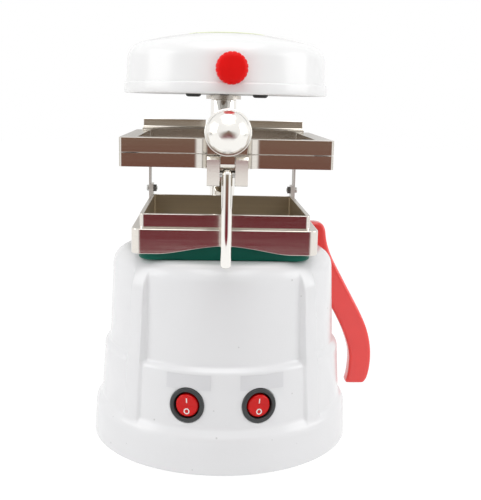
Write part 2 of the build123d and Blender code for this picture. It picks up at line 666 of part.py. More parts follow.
def dome_rim():
    outline = [(HEAD_R, HEAD_LOW), (HEAD_R - 0.2, BAND_TOP - 0.2), (67.6, BAND_TOP), (67.6, HEAD_LOW)]
    face = make_face(Polyline(*outline, close=True))
    face = fillet([corner(face, HEAD_R - 0.2, BAND_TOP)], 1.0)
    face = fillet([corner(face, HEAD_R, HEAD_LOW)], 1.4)
    rim = revolve(Plane.XZ * face, Axis.Z) - block(-15.3, 15.3, 50, 90, HEAD_LOW - 1, 254.6)
    return rim - disc(5.5, 254, 258, y=POST_Y)


def heater_plate():
    plate = ring(67.5, 40, 249.2, 250.6)
    plate -= block(-12.6, 12.6, 62, 90, 248, 252)
    for x, y in head_screw_places():
        plate -= disc(2.0, 248, 252, x, y)
    return plate


def head_screw_places():
    return [(SCREW_CIRCLE * sin(radians(a)), -SCREW_CIRCLE * cos(radians(a))) for a in (-30, 30, 180)]


def plate_screws():
    """Two domed caps in front, and a flat head under the arm."""
    low = 246.9
    cap_nut = disc(5.2, low, 249.2)
    cap_nut = rounded(cap_nut, [cap_nut.edges().sort_by(Axis.Z)[0]], 1.9)
    flat_head = disc(3.8, 248.7, 249.2)
    screws = []
    for x, y in head_screw_places():
        head = flat_head if y > 0 else cap_nut
        screws.append(Pos(x, y, 0) * (head + disc(1.95, 249.2, 256)))
    return Compound(screws)


def reflector():
    wall = [(42.6, 250.6), (42.6, 252), (41, 252), (36, 264), (0, 266), (0, 265), (35.3, 263), (40, 250.6)]
    bowl = lathe(wall)
    bowl -= disc(3.4, 250, 270, HEAT_R0, -16) + disc(3.4, 250, 270, -HEAT_IN, -14)
    return bowl - block(-16, 16, 41.3, 50, 250, 253)


HEAT_R0, HEAT_PITCH, HEAT_TURNS, HEAT_Z, HEAT_WIRE = 31.5, 10.0, 2, 256.5, 2.6
HEAT_IN = HEAT_R0 - HEAT_PITCH * HEAT_TURNS


def heater_element():
    """Sheathed heating tube: a flat coil of half-turn arcs with two ends turned up."""
    arcs = []
    for i in range(HEAT_TURNS):
        a = HEAT_R0 - HEAT_PITCH * i
        b = a - HEAT_PITCH
        arcs.append(ThreePointArc((a, 0, HEAT_Z), (0, a, HEAT_Z), (-a, 0, HEAT_Z)))
        mid = (b - a) / 2
        arcs.append(ThreePointArc((-a, 0, HEAT_Z), (mid, -(a + b) / 2, HEAT_Z), (b, 0, HEAT_Z)))
    last = HEAT_IN
    arcs.append(ThreePointArc((last, 0, HEAT_Z), (0, last, HEAT_Z), (-last, 0, HEAT_Z)))
    bend = 6.0
    start = Line((HEAT_R0, -16, 272), (HEAT_R0, -16, HEAT_Z + bend))
    drop = s_bend(HEAT_R0, -16, 1, bend)
    run = Line((HEAT_R0, -16 + bend, HEAT_Z), (HEAT_R0, 0, HEAT_Z))
    back_run = Line((-last, 0, HEAT_Z), (-last, -8, HEAT_Z))
    s45, c45 = bend * sin(radians(45)), bend * (1 - cos(radians(45)))
    mid = (-last, -8 - s45, HEAT_Z + c45)
    rise = ThreePointArc((-last, -8, HEAT_Z), mid, (-last, -8 - bend, HEAT_Z + bend))
    top = Line((-last, -8 - bend, HEAT_Z + bend), (-last, -8 - bend, 272))
    path = Wire([start, drop, run, *arcs, back_run, rise, top])
    gap = HEAT_PITCH - 2 * HEAT_WIRE
    print("heater tube length", round(path.length, 1), "least gap to itself", round(gap, 2))
    return sweep(Plane(origin=(HEAT_R0, -16, 272), z_dir=(0, 0, -1)) * Circle(HEAT_WIRE), path)


def s_bend(x, y, towards, bend):
    """Quarter arc from the vertical end into the flat coil."""
    s = sin(radians(45)) * bend
    return ThreePointArc((x, y, HEAT_Z + bend), (x, y + towards * (bend - s), HEAT_Z + bend - s),
                         (x, y + towards * bend, HEAT_Z))


def element_insulators():
    places = [(HEAT_R0, -16), (-HEAT_IN, -14)]
    return Compound([ring(6, HEAT_WIRE + 0.1, 266.2, 274, x, y) for x, y in places])


def head_hub():
    """Swivel hub: flange on the post, stud in its bore, neck up to the arm."""
    hub = disc(14.2, 245.7, 248.7, y=POST_Y) + disc(12, 248.7, 250.7, y=POST_Y)
    hub += disc(POST_BORE - RUN, 214, 246, y=POST_Y)
    return hub - disc(3.0, 236, 252, y=POST_Y)


def head_arm():
    arm = block(-15, 15, 41.6, POST_Y, 250.7, 254.3) + disc(15, 250.7, 254.3, y=POST_Y)
    return arm - disc(3.0, 250, 256, y=POST_Y) - disc(2.0, 250, 256, 0, SCREW_CIRCLE)


def hub_bolt():
    head = disc(5.0, 254.3, 258.6, y=POST_Y)
    head = rounded(head, [head.edges().sort_by(Axis.Z)[-1]], 0.6) + disc(2.95, 238, 254.3, y=POST_Y)
    return head - Pos(0, POST_Y, 256.6) * extrude(RegularPolygon(2.9, 6), 4)


def top_label():
    """Bare disc on the crown, bent to its bow."""
    rise = CROWN_Z - 283.4
    ball = (61.4 ** 2 + rise ** 2) / (2 * rise)
    middle = Pos(0, 0, CROWN_Z - ball)
    leaf = middle * Sphere(ball + 0.4) - middle * Sphere(ball)
    return leaf & disc(LABEL_R, CROWN_Z - 4, CROWN_Z + 1)


def swing_knob():
    """Fluted red grip on the front of the cover."""
    seat = -71.2
    knob = bar_y(KNOB_R, seat - 12, seat - 1.2, 0, KNOB_Z) + bar_y(6, seat - 1.2, seat, 0, KNOB_Z)
    knob = rounded(knob, [knob.edges().sort_by(Axis.Y)[0]], 2.4)
    for i in range(20):
        a = 2 * pi * i / 20
        knob -= bar_y(0.95, seat - 14, seat - 1, (KNOB_R + 0.25) * cos(a), KNOB_Z + (KNOB_R + 0.25) * sin(a))
    return Rot(0, 0, KNOB_AZ) * (knob - bar_y(2.5, seat - 8, seat + 1, 0, KNOB_Z))


def knob_screw():
    return Rot(0, 0, KNOB_AZ) * (bar_y(2.5, -79.0, -66.6, 0, KNOB_Z) + bar_y(4.6, -67.8, -65.0, 0, KNOB_Z))


# ---- build every piece -------------------------------------------------------------
parts["base_shell"] = base_shell()
parts["bottom_plate"] = bottom_plate()
parts["base_screws"] = base_screws()
parts["rubber_sole"] = sole()
parts["label_plates"] = label_plates()
for name, side in (("left", -1), ("right", 1)):
    parts[name + "_switch_body"] = switch_body(side)
    parts[name + "_switch_rocker"] = switch_rocker(side)
parts["power_inlet"] = power_inlet()
parts["fuse_carrier"] = fuse_carrier()
parts["terminal_block"] = terminal_block()
parts.update(motor_parts())
parts["seal_pad"] = seal_pad()
parts["forming_chamber"] = forming_chamber()
parts["perforated_plate"] = perforated_plate()
parts["chamber_screws"] = chamber_screws()
parts["chamber_skirt"] = chamber_skirt()
parts["strap_brackets"] = both_sides(strap_bracket())
parts["guide_straps"] = both_sides(guide_strap())
parts["strap_bolts"] = strap_bolts()
parts["strap_nuts"] = strap_nuts()
parts["post"] = post()
parts["post_nut"] = post_nut()
parts["stop_collar"] = stop_collar()
parts["carry_handle"] = carry_handle()
parts["handle_screws"] = handle_screws()
parts["lower_frame"] = lower_frame()
parts["slider_bush"] = slider_bush()
parts["drag_screw"] = drag_screw()
parts["lug_pins"] = Compound([cross_pin(2.0, LATCH_PIN, LUG_HALF), cross_pin(1.75, ROD_PIN, LUG_HALF)])
parts["guide_pins"] = guide_pins()
parts["hinge_pins"] = hinge_pins()
parts["upper_frame"] = upper_frame()
parts["rear_upstand"] = rear_upstand()
parts["latch_lever"] = latch_lever()
parts["latch_knob"] = latch_knob()
parts["pull_rod"] = pull_rod()
parts["dome_shell"] = dome_shell()
parts["dome_rim"] = dome_rim()
parts["heater_plate"] = heater_plate()
parts["plate_screws"] = plate_screws()
parts["reflector"] = reflector()
parts["heater_element"] = heater_element()
parts["element_insulators"] = element_insulators()
parts["head_hub"] = head_hub()
parts["head_arm"] = head_arm()
parts["hub_bolt"] = hub_bolt()
parts["top_label"] = top_label()
parts["swing_knob"] = swing_knob()
parts["knob_screw"] = knob_screw()

for node, shape in parts.items():
    export_step(Compound(shape.solids()), f"parts/{node}.step")
print(len(parts), "nodes")
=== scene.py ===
# %% [markdown]
# # Dressing a dental vacuum former
# The machine warms a square plastic sheet under a round heater, and drops it over a plaster model on a
# suction chamber. Its metal skeleton comes in finished from the drawing program. This lesson gives each
# visible piece its soft edges, its finish and its light, in Blender.

# %% Load the finished skeleton
import bmesh
import bpy
import json
from math import asin, atan2, cos, degrees, pi, radians, sin, sqrt
from mathutils import Matrix, Vector


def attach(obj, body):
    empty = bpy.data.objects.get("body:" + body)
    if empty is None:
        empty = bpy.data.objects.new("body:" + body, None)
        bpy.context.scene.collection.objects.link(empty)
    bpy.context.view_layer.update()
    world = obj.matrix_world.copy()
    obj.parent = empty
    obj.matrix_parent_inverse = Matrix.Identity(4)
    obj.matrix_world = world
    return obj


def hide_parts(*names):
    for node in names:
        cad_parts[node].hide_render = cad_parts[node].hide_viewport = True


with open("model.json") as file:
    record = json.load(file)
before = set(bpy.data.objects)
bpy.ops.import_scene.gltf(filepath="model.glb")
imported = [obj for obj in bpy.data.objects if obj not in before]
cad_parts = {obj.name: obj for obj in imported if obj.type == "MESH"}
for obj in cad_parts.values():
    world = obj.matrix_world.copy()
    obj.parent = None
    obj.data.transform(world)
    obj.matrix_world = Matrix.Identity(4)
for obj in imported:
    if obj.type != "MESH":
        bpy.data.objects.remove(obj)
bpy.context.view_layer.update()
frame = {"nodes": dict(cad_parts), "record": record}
MM = 0.001
print("nodes loaded:", len(frame["nodes"]))

# %% [markdown]
# ## Tools used again and again
# A turned piece is a line of points that is spun round an axis. Its corners are rounded while it is still a
# line, because that is cheap and every later ring is then smooth. A milled piece is a copy of the drawing's
# own block with its flat faces joined up again, so that a Bevel can break the sharp edges. Real edges are
# never knife-sharp, and those thin rounded bands are what catches the light in the photograph.


# %% Small helpers: millimetres, rounding, turning
def mm(*values):
    """Millimetres as a vector in metres."""
    return Vector(values) * MM


def rounded_line(points, radii, segments=5, closed=False):
    """A line in the XZ plane with some corners rounded: radii maps a corner's number to millimetres."""
    bm = bmesh.new()
    verts = [bm.verts.new(mm(r, 0, z)) for r, z in points]
    for a, b in zip(verts, verts[1:]):
        bm.edges.new((a, b))
    if closed:
        bm.edges.new((verts[-1], verts[0]))
    for number, radius in radii.items():
        bmesh.ops.bevel(bm, geom=[verts[number]], offset=radius * MM, offset_type="OFFSET", segments=segments,
                        profile=0.5, affect="VERTICES", material=-1)
    return bm


def turned(bm, steps=96):
    """Spins the line in bm all the way round the Z axis, and closes its poles."""
    bmesh.ops.spin(bm, geom=bm.verts[:] + bm.edges[:], cent=(0, 0, 0), axis=(0, 0, 1), angle=2 * pi,
                   steps=steps, use_merge=True, use_normal_flip=False, use_duplicate=False)
    bmesh.ops.remove_doubles(bm, verts=bm.verts[:], dist=1e-6)
    bmesh.ops.dissolve_degenerate(bm, edges=bm.edges[:], dist=1e-7)
    return bm


def moved(bm, matrix):
    """Places a finished bmesh."""
    bmesh.ops.transform(bm, matrix=matrix, verts=bm.verts[:])
    return bm


def block(wide, tall, low, high):
    """A block along Z, centred on X and Y."""
    bm = bmesh.new()
    bmesh.ops.create_cube(bm, size=1)
    size = Matrix.Diagonal((wide * MM, tall * MM, (high - low) * MM, 1))
    return moved(bm, Matrix.Translation(mm(0, 0, (low + high) / 2)) @ size)


def rod_between(radius, low, high):
    """A cylinder along Z."""
    bm = bmesh.new()
    bmesh.ops.create_cone(bm, cap_ends=True, segments=96, radius1=radius * MM, radius2=radius * MM,
                          depth=(high - low) * MM)
    return moved(bm, Matrix.Translation(mm(0, 0, (low + high) / 2)))


def rounded_edges(bm, edges, radius, segments):
    """Rounds chosen edges of a bmesh."""
    bmesh.ops.bevel(bm, geom=edges, offset=radius * MM, segments=segments, profile=0.5, affect="EDGES",
                    material=-1)


# %% Small helpers: from a bmesh to a piece of the object
def body_of(node):
    """The moving body that a drawn node belongs to."""
    bodies = frame["record"]["behaviour"]["bodies"]
    return next(name for name, nodes in bodies.items() if node in nodes)


def piece(name, bm, node, material, angle=35, replace=True):
    """Makes an object of bm that rides with the node's body and takes the node's place."""
    bmesh.ops.recalc_face_normals(bm, faces=bm.faces[:])
    mesh = bpy.data.meshes.new(name)
    bm.to_mesh(mesh)
    bm.free()
    mesh.shade_smooth()
    mesh.set_sharp_from_angle(angle=radians(angle))
    obj = bpy.data.objects.new(name, mesh)
    bpy.context.scene.collection.objects.link(obj)
    obj.data.materials.append(material)
    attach(obj, body_of(node))
    if replace:
        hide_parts(node)
    print(f"{name}: {len(mesh.polygons)} faces")
    return obj


def soft_edges(obj, width):
    """Breaks a piece's sharp edges with a narrow round, and keeps the faces beside it flat."""
    bevel = obj.modifiers.new("broken_edges", "BEVEL")
    bevel.width = width * MM
    bevel.segments = 2
    bevel.limit_method = "ANGLE"
    bevel.angle_limit = radians(30)
    weighted = obj.modifiers.new("flat_faces", "WEIGHTED_NORMAL")
    weighted.mode = "FACE_AREA"
    weighted.weight = 100
    weighted.keep_sharp = True


def milled(node, material, width):
    """A copy of a drawn node with joined faces and broken edges."""
    bm = bmesh.new()
    bm.from_mesh(frame["nodes"][node].data)
    bmesh.ops.remove_doubles(bm, verts=bm.verts[:], dist=2e-6)
    bmesh.ops.dissolve_limit(bm, angle_limit=radians(1.0), verts=bm.verts[:], edges=bm.edges[:],
                             delimit={"NORMAL"})
    obj = piece(node + "_finished", bm, node, material)
    soft_edges(obj, width)
    return obj


def paint(material, *nodes):
    """Gives drawn nodes a finish."""
    for node in nodes:
        obj = frame["nodes"][node]
        obj.data.materials.clear()
        obj.data.materials.append(material)
    print("painted", ", ".join(nodes))


# %% [markdown]
# ## Finishes
# Every finish is built from noise that is fixed to the object, so that it stays put when the view moves.
# Plastic mouldings get a faint orange-peel bump and tiny specks. Brushed metal is the same noise, stretched
# thin along one direction until it reads as strokes. What makes metal look real is mostly what it mirrors,
# so the light is set up with as much care as the colours.


# %% Build a finish from noise
def finish(name, colour, rough, metal=0.0, shade=0.9, grain=(60, 60, 60), detail=3.0, bump=0.0, spread=0.05,
           coat=0.0, specks=0.0, speck_colour=(0.25, 0.25, 0.25), anisotropy=0.0, subsurface=0.0, gleam=0.5):
    """A material: colour wavers down to shade, roughness by spread, and the surface by bump millimetres."""
    mat = bpy.data.materials.new(name)
    mat.use_nodes = True
    nodes, links = mat.node_tree.nodes, mat.node_tree.links
    shader = nodes["Principled BSDF"]
    shader.inputs["Metallic"].default_value = metal
    shader.inputs["Specular IOR Level"].default_value = gleam
    shader.inputs["Coat Weight"].default_value = coat
    shader.inputs["Coat Roughness"].default_value = 0.04
    shader.inputs["Anisotropic"].default_value = anisotropy
    shader.inputs["Subsurface Weight"].default_value = subsurface
    shader.inputs["Subsurface Radius"].default_value = (0.003, 0.001, 0.001)
    where = nodes.new("ShaderNodeTexCoord")
    stretch = nodes.new("ShaderNodeMapping")
    stretch.inputs["Scale"].default_value = grain
    noise = nodes.new("ShaderNodeTexNoise")
    noise.inputs["Scale"].default_value = 1.0
    noise.inputs["Detail"].default_value = detail
    links.new(where.outputs["Object"], stretch.inputs["Vector"])
    links.new(stretch.outputs["Vector"], noise.inputs["Vector"])
    tint = nodes.new("ShaderNodeMix")
    tint.data_type = "RGBA"
    tint.inputs["A"].default_value = (*[c * shade for c in colour], 1)
    tint.inputs["B"].default_value = (*colour, 1)
    links.new(noise.outputs["Fac"], tint.inputs["Factor"])
    base = tint.outputs["Result"]
    if specks:
        dots = nodes.new("ShaderNodeTexVoronoi")
        dots.inputs["Scale"].default_value = specks
        links.new(where.outputs["Object"], dots.inputs["Vector"])
        near = nodes.new("ShaderNodeMapRange")
        near.inputs["From Min"].default_value = 0.035
        near.inputs["From Max"].default_value = 0.06
        links.new(dots.outputs["Distance"], near.inputs["Value"])
        speckled = nodes.new("ShaderNodeMix")
        speckled.data_type = "RGBA"
        speckled.inputs["A"].default_value = (*speck_colour, 1)
        links.new(base, speckled.inputs["B"])
        links.new(near.outputs["Result"], speckled.inputs["Factor"])
        base = speckled.outputs["Result"]
    links.new(base, shader.inputs["Base Color"])
    gloss = nodes.new("ShaderNodeMapRange")
    gloss.inputs["To Min"].default_value = max(0.02, rough - spread)
    gloss.inputs["To Max"].default_value = rough + spread
    links.new(noise.outputs["Fac"], gloss.inputs["Value"])
    links.new(gloss.outputs["Result"], shader.inputs["Roughness"])
    if bump:
        relief = nodes.new("ShaderNodeBump")
        relief.inputs["Distance"].default_value = bump * MM
        relief.inputs["Strength"].default_value = 1.0
        links.new(noise.outputs["Fac"], relief.inputs["Height"])
        links.new(relief.outputs["Normal"], shader.inputs["Normal"])
    return mat


# %% The finishes of this machine
white_moulding = finish("white_moulding", (0.79, 0.79, 0.80), 0.24, grain=(45, 45, 45), shade=0.985, bump=0.012,
                        coat=0.12, specks=75, speck_colour=(0.60, 0.60, 0.60))
white_enamel = finish("white_enamel", (0.86, 0.86, 0.86), 0.22, grain=(70, 70, 70), shade=0.985, bump=0.01,
                      coat=0.2)
strokes = finish("strokes_across", (0.82, 0.78, 0.72), 0.13, metal=1, grain=(9, 300, 1500), shade=0.84,
                 detail=5, bump=0.0015, anisotropy=0.3)
# Painted shade: a darker, warmer steel for the faces inside the chamber, standing in for the shade there.
painted_shade_steel = finish("inner_steel_painted_shade", (0.50, 0.42, 0.31), 0.36, metal=1, grain=(9, 300, 900), shade=0.8,
                   detail=5, bump=0.0015, spread=0.06)
satin_steel = finish("satin_steel", (0.72, 0.70, 0.67), 0.42, metal=1, grain=(900, 900, 12), shade=0.85,
                     detail=4, spread=0.06)
mirror_plate = finish("mirror_plating", (0.90, 0.88, 0.84), 0.06, metal=1, grain=(180, 180, 180), shade=0.96,
                      bump=0.0006, spread=0.03)
ball_plate = finish("ball_plating", (0.90, 0.88, 0.84), 0.20, metal=1, grain=(180, 180, 180), shade=0.96,
                    bump=0.0006, spread=0.03)
satin_nickel = finish("satin_nickel", (0.62, 0.58, 0.53), 0.26, metal=1, grain=(500, 500, 60), shade=0.85,
                      spread=0.08)
dark_steel = finish("oiled_screw_steel", (0.16, 0.155, 0.15), 0.35, metal=1, grain=(400, 400, 400), shade=0.7)
zinc = finish("zinc_plating", (0.58, 0.58, 0.56), 0.3, metal=1, grain=(300, 300, 300), shade=0.8, spread=0.1)
aluminium = finish("satin_aluminium", (0.62, 0.62, 0.61), 0.33, metal=1, grain=(30, 900, 30), shade=0.85,
                   spread=0.08)
silicone = finish("green_silicone", (0.002, 0.115, 0.078), 0.42, grain=(220, 220, 220), shade=0.85,
                  bump=0.03, subsurface=0.05, gleam=0.15)
red_moulding = finish("red_moulding", (0.88, 0.050, 0.044), 0.24, grain=(90, 90, 90), shade=0.92, bump=0.015,
                      coat=0.35)
red_knob = finish("red_knob", (0.80, 0.004, 0.003), 0.4, grain=(160, 160, 160), shade=0.88, bump=0.02,
                  gleam=0.12)
red_lens = finish("red_lens", (0.66, 0.003, 0.003), 0.2, grain=(120, 120, 120), shade=0.85, coat=0.06,
                  gleam=0.25)
print_white = finish("print_white", (0.86, 0.84, 0.82), 0.4, grain=(500, 500, 500), shade=0.9)
black_plastic = finish("black_plastic", (0.034, 0.037, 0.038), 0.34, grain=(700, 700, 700), shade=0.7,
                       bump=0.008)
black_rubber = finish("black_rubber", (0.035, 0.035, 0.035), 0.6, grain=(350, 350, 350), shade=0.7, bump=0.03)
label_film = finish("label_film", (0.70, 0.70, 0.715), 0.38, grain=(20, 20, 400), shade=0.97)
crown_film = finish("crown_film", (0.84, 0.92, 0.58), 0.3, grain=(40, 40, 40), shade=0.94)
grey_coat = finish("grey_powder_coat", (0.28, 0.285, 0.29), 0.5, grain=(600, 600, 600), shade=0.85, bump=0.03)
bronze = finish("sintered_bronze", (0.48, 0.33, 0.16), 0.42, metal=1, grain=(450, 450, 450), shade=0.7)
heat_tint = finish("heat_tinted_sheath", (0.30, 0.25, 0.21), 0.36, metal=1, grain=(60, 60, 60), shade=0.55,
                   spread=0.1)
ceramic = finish("glazed_ceramic", (0.72, 0.70, 0.64), 0.2, grain=(90, 90, 90), shade=0.93)
buff_plastic = finish("buff_moulding", (0.52, 0.46, 0.34), 0.45, grain=(200, 200, 200), shade=0.85, bump=0.01)
core_stack = finish("lacquered_core", (0.10, 0.075, 0.05), 0.4, grain=(30, 30, 1800), shade=0.5)
carbon = finish("carbon", (0.025, 0.025, 0.027), 0.55, grain=(500, 500, 500), shade=0.6)
print("finishes:", len(bpy.data.materials))

# %% [markdown]
# ## The drum
# The base is one moulding: a plinth, two tiers that taper a little, and four upright ribs that run through
# both ledges. It is turned first. The ribs and the socket of the post are then pushed out of the turned
# wall, each point along its own radius, with soft flanks, just as a moulding tool would leave them.

# %% Turn the drum and push out its ribs
POST_Y = 76.0
SOCKET_R = 17.5
DECK = 138.4
RIBS = (39.5, 48.5)
RIB_FOOT, RIB_KNEE = 26, 122
TIER_FOOT, TIER_TOP = (89.4, 31.0), (87.0, 68.4)


def smooth_step(low, high, value):
    """0 before low, 1 after high, and a soft curve between them."""
    t = min(1.0, max(0.0, (value - low) / (high - low)))
    return t * t * (3 - 2 * t)


def rib_radius(z):
    """Outer face of a rib at a height: it leans in a little, and more above its knee."""
    if z <= RIB_KNEE:
        return 91.6 - (z - RIB_FOOT) * 7.2 / 96
    return 84.4 - (z - RIB_KNEE) * 3.4 / 8


def pushed_out(x, y, z):
    """Where a point of the turned wall goes for the ribs and the socket."""
    r = sqrt(x * x + y * y)
    azimuth = degrees(atan2(abs(x), abs(y)))
    across = smooth_step(RIBS[0] - 0.9, RIBS[0] + 0.7, azimuth)
    across *= 1 - smooth_step(RIBS[1] - 0.7, RIBS[1] + 0.9, azimuth)
    along = smooth_step(26.6, 28.8, z) * (1 - smooth_step(127.5, 133.5, z))
    wanted = r + max(0.0, rib_radius(z) - r) * across * along
    if y > 0 and 26.5 < z < DECK - 1.2:
        aside = POST_Y * abs(x) / r
        if aside < SOCKET_R:
            socket = POST_Y * (y / r) + sqrt(SOCKET_R ** 2 - aside ** 2)
            wanted = max(wanted, socket * smooth_step(26.4, 28.4, z))
    return x * wanted / r, y * wanted / r


drum_line = [(0.02, DECK), (80.2, DECK), (83.4, 71.6), TIER_TOP, TIER_FOOT, (93.8, 25.0), (95, 0.8),
             (92, 0.8), (92, 22), (0.02, 22)]
drum = rounded_line(drum_line, {1: 11.0, 2: 1.2, 3: 1.6, 4: 1.6, 5: 2.4, 6: 0.6}, segments=8)
long_runs = [e for e in drum.edges if e.calc_length() > 0.02 and min(v.co.x for v in e.verts) > 0.05]
bmesh.ops.subdivide_edges(drum, edges=long_runs, cuts=12)
turned(drum, steps=720)
bmesh.ops.holes_fill(drum, edges=[e for e in drum.edges if e.is_boundary], sides=0)
for v in drum.verts:
    if v.co.z > 0.0255 and v.co.x ** 2 + v.co.y ** 2 > 0.075 ** 2:
        x, y = pushed_out(v.co.x / MM, v.co.y / MM, v.co.z / MM)
        v.co.x, v.co.y = x * MM, y * MM
drum_shell = piece("drum_shell", drum, "base_shell", white_moulding, angle=50)

# %% [markdown]
# The switches, the mains socket and the fuse sit in pockets of the wall. Each pocket is cut with a Boolean
# against a simple block or cylinder. The cutters are thrown away once the cut is made, so the drum stays one
# plain mesh.


# %% Cut the pockets in the wall
def wall_place(azimuth, out, height):
    """Local Z points out of the wall and local Y up; azimuth 0 is the front, in degrees."""
    a, lean = radians(azimuth), atan2(TIER_FOOT[0] - TIER_TOP[0], TIER_TOP[1] - TIER_FOOT[1])
    away = Vector((sin(a) * cos(lean), -cos(a) * cos(lean), sin(lean)))
    across = Vector((cos(a), sin(a), 0))
    turn = Matrix((across, away.cross(across), away)).transposed().to_4x4()
    return Matrix.Translation(mm(sin(a) * out, -cos(a) * out, height)) @ turn


def pocketed(obj, cutters):
    """Cuts every (bmesh, place) out of the object's mesh."""
    tools = []
    for bm, place in cutters:
        mesh = bpy.data.meshes.new("cutter")
        moved(bm, place).to_mesh(mesh)
        bm.free()
        tool = bpy.data.objects.new("cutter", mesh)
        bpy.context.scene.collection.objects.link(tool)
        cut = obj.modifiers.new("pocket", "BOOLEAN")
        cut.operation = "DIFFERENCE"
        cut.solver = "EXACT"
        cut.object = tool
        tools.append(tool)
    ready = obj.evaluated_get(bpy.context.evaluated_depsgraph_get())
    mesh = bpy.data.meshes.new_from_object(ready)
    obj.modifiers.clear()
    obj.data = mesh
    for tool in tools:
        bpy.data.meshes.remove(tool.data)
    mesh.shade_smooth()
    mesh.set_sharp_from_angle(angle=radians(50))
    print("pockets cut:", len(tools))


SWITCH_X, SWITCH_OUT, SWITCH_UP = 23.7, 87.5, 46.2
SWITCH_AZIMUTH = degrees(asin(SWITCH_X / SWITCH_OUT))
pockets = []
for side in (-1, 1):
    seat_place = wall_place(side * SWITCH_AZIMUTH, SWITCH_OUT, SWITCH_UP)
    pockets += [(rod_between(12.2, 0, 9), seat_place), (rod_between(10.0, -24, 1), seat_place)]
socket_place = wall_place(155, SWITCH_OUT - 1.5, SWITCH_UP)
pockets += [(block(32.8, 24.8, 0, 9), socket_place), (block(27, 20, -26, 1), socket_place)]
fuse_place = wall_place(-155, SWITCH_OUT - 0.5, SWITCH_UP)
pockets += [(rod_between(9.4, 0, 9), fuse_place), (rod_between(6.4, -29, 1), fuse_place)]
pocketed(drum_shell, pockets)

# %% [markdown]
# ## The heater's cover
# A spun steel cover with a bowed crown, and a rolled rim under it. The crown's bow is part of a ball, so its
# line is worked out from the ball's radius. Only the corner needs rounding.

# %% Turn the cover, its rim and the crown's disc
BOW = 234.0
CROWN = 291.6


def crown_height(r, lift=0.0):
    """Height of the bowed crown at a radius."""
    return CROWN + lift - BOW + sqrt(BOW ** 2 - r ** 2)


def crown_line(last, lift, steps=7):
    """Points of the crown from its middle outwards."""
    return [(max(0.02, last * i / steps), crown_height(last * i / steps, lift)) for i in range(steps + 1)]


cover_line = crown_line(60, 0) + [(69.75, 281.2), (70.8, 256.4), (68.9, 256.4), (67.9, 279.2)]
cover_line += crown_line(58, -1.8)[::-1]
cover = turned(rounded_line(cover_line, {8: 8.5, 11: 7.0}, segments=10), steps=256)
piece("heater_cover", cover, "dome_shell", white_enamel, angle=40)
rim_line = [(67.6, 248.8), (72.4, 248.8), (72.2, 256.4), (67.6, 256.4)]
rim = turned(rounded_line(rim_line, {1: 1.6, 2: 1.1}, segments=5, closed=True), steps=256)
piece("heater_rim", rim, "dome_rim", white_enamel, angle=40)
disc_line = crown_line(27.6, 0.42, 5) + [(28.0, crown_height(28.0, 0.3)), (28.0, crown_height(28.0, 0.02))]
disc_line += crown_line(27.5, 0.02, 5)[::-1]
crown_disc = turned(rounded_line(disc_line, {}), steps=128)
piece("crown_disc", crown_disc, "top_label", crown_film)

# %% [markdown]
# ## Knobs and rods
# The ball knob is turned steel: a collar, a thin groove, and a dome. The red knob starts as a turned
# button, and its flutes are cut by pulling points towards its axis in a wave.

# %% Turn the ball knob on the latch
KNOB_SEAT = (0, -86.0, 224.6)
knob_turn = Matrix.Translation(mm(*KNOB_SEAT)) @ Matrix.Rotation(radians(90 - 9), 4, "X")
knob_line = [(0.02, 17.6), (4.0, 17.03), (7.6, 15.42), (10.6, 12.84), (12.6, 10.1), (13.35, 8.2), (12.9, 7.7),
             (12.9, 7.2), (14.6, 7.0), (14.6, 6.0), (12.9, 3.9), (8.6, 2.4), (4.2, 0.8), (0.02, 0.8)]
knob = rounded_line(knob_line, {1: 3, 2: 3, 3: 3, 4: 1.5, 5: 0.4, 8: 0.4, 9: 0.8, 10: 1.5, 11: 1.5})
moved(turned(knob, steps=128), knob_turn)
piece("ball_knob", knob, "latch_knob", ball_plate, angle=50)

# %% Turn and flute the red knob
FLUTES = 20
red = rounded_line([(0.02, 12.0), (7.6, 11.6), (10.2, 9.6), (10.2, 1.2), (6.0, 1.2), (6.0, 0.1), (0.02, 0.1)],
                   {1: 1.2, 2: 1.6, 3: 0.8})
turned(red, steps=240)
for v in red.verts:
    r = sqrt(v.co.x ** 2 + v.co.y ** 2)
    wave = 0.5 + 0.5 * cos(FLUTES * atan2(v.co.y, v.co.x))
    pull = 1 - 0.035 * wave ** 4 * smooth_step(0.0082, 0.0098, r)
    v.co.x, v.co.y = v.co.x * pull, v.co.y * pull
to_the_right = Matrix.Rotation(radians(1.5), 4, "Z")
moved(red, to_the_right @ Matrix.Translation(mm(0, -71.2, 264.8)) @ Matrix.Rotation(radians(90), 4, "X"))
piece("red_grip", red, "swing_knob", red_knob, angle=40)

# %% Turn the pull rod and the post
rod = rounded_line([(0.02, 139.4), (3.5, 139.4), (3.5, 202.8), (0.02, 202.8)], {1: 2.2, 2: 3.3}, segments=6)
moved(turned(rod, steps=64), Matrix.Translation(mm(0, -88, 0)))
piece("hanging_rod", rod, "pull_rod", mirror_plate, angle=60)
column = rounded_line([(8.0, 104), (10.3, 104), (10.3, 245.4), (8.0, 245.4)], {1: 0.6, 2: 0.6}, closed=True)
moved(turned(column, steps=96), Matrix.Translation(mm(0, POST_Y, 0)))
piece("round_post", column, "post", mirror_plate, angle=50)

# %% [markdown]
# ## The silicone seat
# The chamber stands on a soft pad with round corners. Its lower edge rolls under, so a wide bevel does the
# work there, and a narrow one at the top.

# %% Press the seat
SEAT_WIDTH, SEAT_TOP = 116.8, 149.5
seat = block(SEAT_WIDTH, SEAT_WIDTH, DECK, SEAT_TOP)
corners = [e for e in seat.edges if abs(e.verts[0].co.z - e.verts[1].co.z) > 1e-5]
rounded_edges(seat, corners, 11, 10)
low_rim = [e for e in seat.edges if max(v.co.z for v in e.verts) < (DECK + 0.1) * MM]
rounded_edges(seat, low_rim, 1.4, 6)
top_rim = [e for e in seat.edges if min(v.co.z for v in e.verts) > (SEAT_TOP - 0.1) * MM]
rounded_edges(seat, top_rim, 0.6, 3)
piece("silicone_seat", seat, "seal_pad", silicone, angle=40)

